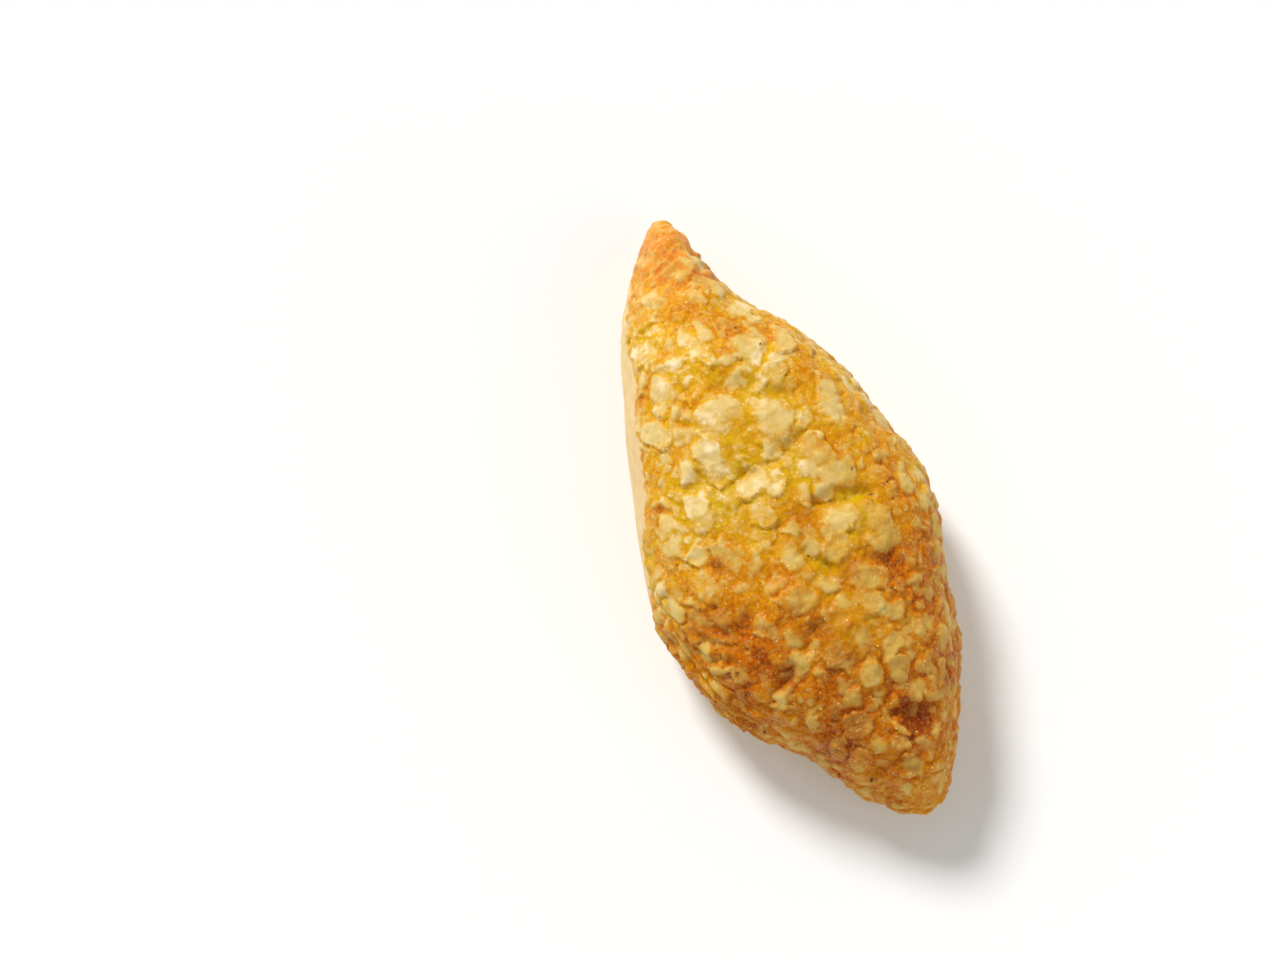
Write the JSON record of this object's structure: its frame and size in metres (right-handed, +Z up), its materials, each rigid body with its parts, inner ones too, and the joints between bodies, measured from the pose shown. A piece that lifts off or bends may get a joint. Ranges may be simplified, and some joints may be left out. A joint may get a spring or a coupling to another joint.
{
  "type": "cheese bun",
  "caption": "Diamond-shaped bread bun with a domed baked cheese crust, pale bulging side walls and a flat sole that it rests on.",
  "frame": {"origin": "middle of the bun's box, on the plane of its flat sole", "axes": "+X along the long diagonal towards the blunt tip, +Y across the bun towards one obtuse corner, +Z up out of the crust"},
  "size_m": [0.155, 0.073, 0.043],
  "materials": {
    "baked_crust": "satin"
  },
  "bodies": {
    "root": {"cheese_bun": "baked_crust"}
  },
  "joints": []
}
